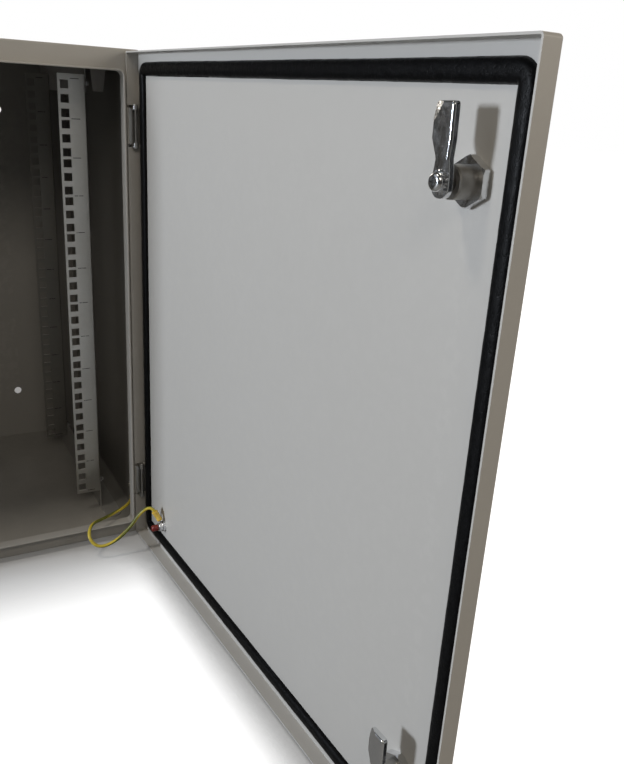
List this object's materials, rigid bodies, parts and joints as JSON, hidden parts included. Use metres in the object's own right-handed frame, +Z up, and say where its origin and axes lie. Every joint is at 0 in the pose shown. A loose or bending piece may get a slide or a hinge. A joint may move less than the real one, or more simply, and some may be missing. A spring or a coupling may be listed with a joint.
{
  "type": "wall-mount rack enclosure",
  "caption": "Square sheet-steel enclosure with a hinged gasketed door standing open, quarter-turn cam latches, an earth bonding wire and square-hole rack rails inside.",
  "frame": {"origin": "middle of the underside of the cabinet box", "axes": "+Z up, +Y towards the back wall, +X to the right seen from the front; hinges on the right"},
  "size_m": [0.6336, 0.9764, 0.6],
  "materials": {
    "grey_paint": "powder coat, fine orange peel",
    "zinc_sheet": "zinc coated sheet, satin",
    "black_seal": "foamed polyurethane bead",
    "red_plastic": "soft moulded cap",
    "yellow_sleeve": "crimp insulation",
    "wire_green_yellow": "extruded insulation, green and yellow",
    "grey_diecast": "die cast zinc, satin",
    "hinge_zinc": "zinc plated",
    "bright_chrome": "bright plated",
    "bright_zinc": "bright zinc plated"
  },
  "bodies": {
    "cabinet": {"cabinet_crimp_sleeve": "yellow_sleeve", "cabinet_earth_nut": "bright_zinc", "cabinet_earth_stud": "bright_zinc", "cabinet_earth_washers": "bright_zinc", "cabinet_ring_terminal": "bright_zinc", "cabinet_shell": "grey_paint", "earth_wire": "wire_green_yellow", "front_rail_left": "zinc_sheet", "front_rail_right": "zinc_sheet", "hinge_bracket_lower": "hinge_zinc", "hinge_bracket_upper": "hinge_zinc", "hinge_pin_lower": "bright_zinc", "hinge_pin_upper": "bright_zinc", "lower_support_left": "zinc_sheet", "lower_support_right": "zinc_sheet", "rail_nuts": "bright_zinc", "rail_screws": "bright_zinc", "rear_rail_left": "zinc_sheet", "rear_rail_right": "zinc_sheet", "upper_support_left": "zinc_sheet", "upper_support_right": "zinc_sheet"},
    "door": {"door_panel": "grey_paint", "door_gasket": "black_seal", "door_hinge_lower": "hinge_zinc", "door_hinge_upper": "hinge_zinc", "lock_body_lower": "grey_diecast", "lock_body_upper": "grey_diecast", "lock_nut_lower": "bright_chrome", "lock_nut_upper": "bright_chrome", "door_earth_stud": "bright_zinc", "door_earth_washers": "bright_zinc", "door_earth_nut": "bright_zinc", "earth_stud_cap": "red_plastic", "door_ring_terminal": "bright_zinc", "door_crimp_sleeve": "yellow_sleeve"},
    "upper_latch": {"lock_spindle_upper": "bright_chrome", "lock_cam_upper": "bright_chrome", "cam_washer_upper": "bright_chrome", "cam_screw_upper": "bright_chrome"},
    "lower_latch": {"lock_spindle_lower": "bright_chrome", "lock_cam_lower": "bright_chrome", "cam_washer_lower": "bright_chrome", "cam_screw_lower": "bright_chrome"}
  },
  "joints": [
    {"name": "door_hinge", "type": "hinge", "parent": "cabinet", "child": "door", "pos_m": [0.29, -0.2, 0.3], "axis": [0, 0, 1], "range_deg": [-93.3, 16.7], "deforming": ["earth_wire"]},
    {"name": "upper_latch_turn", "type": "hinge", "parent": "door", "child": "upper_latch", "pos_m": [0.30849, -0.73783, 0.52], "axis": [0.9983, 0.0576, 0], "range_deg": [0, 90]},
    {"name": "lower_latch_turn", "type": "hinge", "parent": "door", "child": "lower_latch", "pos_m": [0.30849, -0.73783, 0.08], "axis": [0.9983, 0.0576, 0], "range_deg": [0, 90]}
  ]
}
